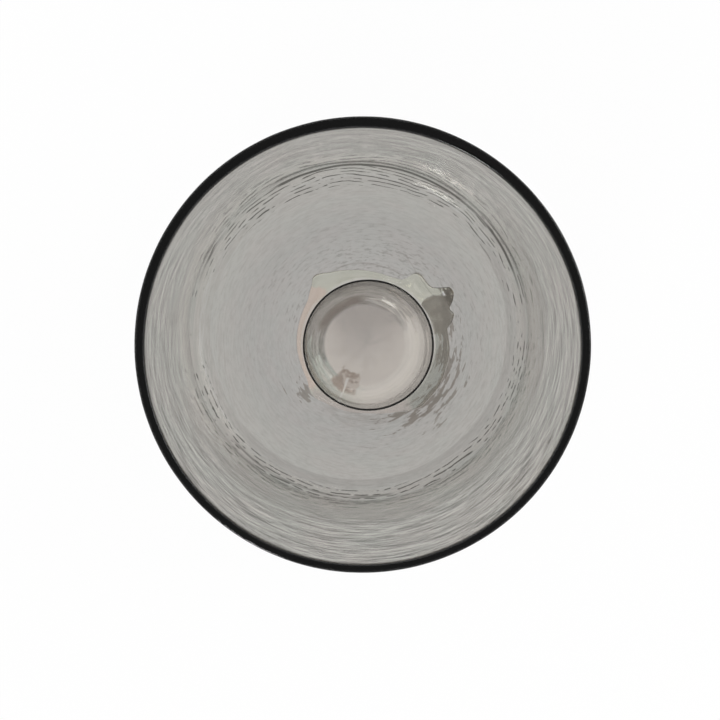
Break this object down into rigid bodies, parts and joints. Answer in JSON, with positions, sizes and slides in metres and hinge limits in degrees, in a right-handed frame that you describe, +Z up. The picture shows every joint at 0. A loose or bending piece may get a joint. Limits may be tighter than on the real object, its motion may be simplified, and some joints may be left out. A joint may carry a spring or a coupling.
{
  "type": "hurricane candle holder",
  "caption": "Tall round hurricane candle holder in smoke glass, with a hand-formed glass seat on its floor and a loose glass candle cup standing in it.",
  "frame": {"origin": "centre of the face that the glass body stands on", "axes": "+Z up along the glass body's axis, towards its open rim; +Y towards the top of the picture, +X towards its right"},
  "size_m": [0.2, 0.2, 0.25],
  "materials": {
    "smoke_glass": "transparent smoke-grey mouth-blown glass, fine ripples round the wall and floor, rim ground flat and polished",
    "seat_glass": "transparent hand-formed glass with olive, rose and brown streaks, fire-polished",
    "cup_glass": "thin clear glass with a faint rose-brown tint and a melted lip"
  },
  "bodies": {
    "hurricane": {"hurricane_glass": "smoke_glass", "cup_seat": "seat_glass"},
    "cup": {"candle_cup": "cup_glass"}
  },
  "joints": [
    {"name": "cup_lift", "type": "slide", "parent": "hurricane", "child": "cup", "axis": [0, 0, 1], "range_m": [0, 0.27]}
  ]
}
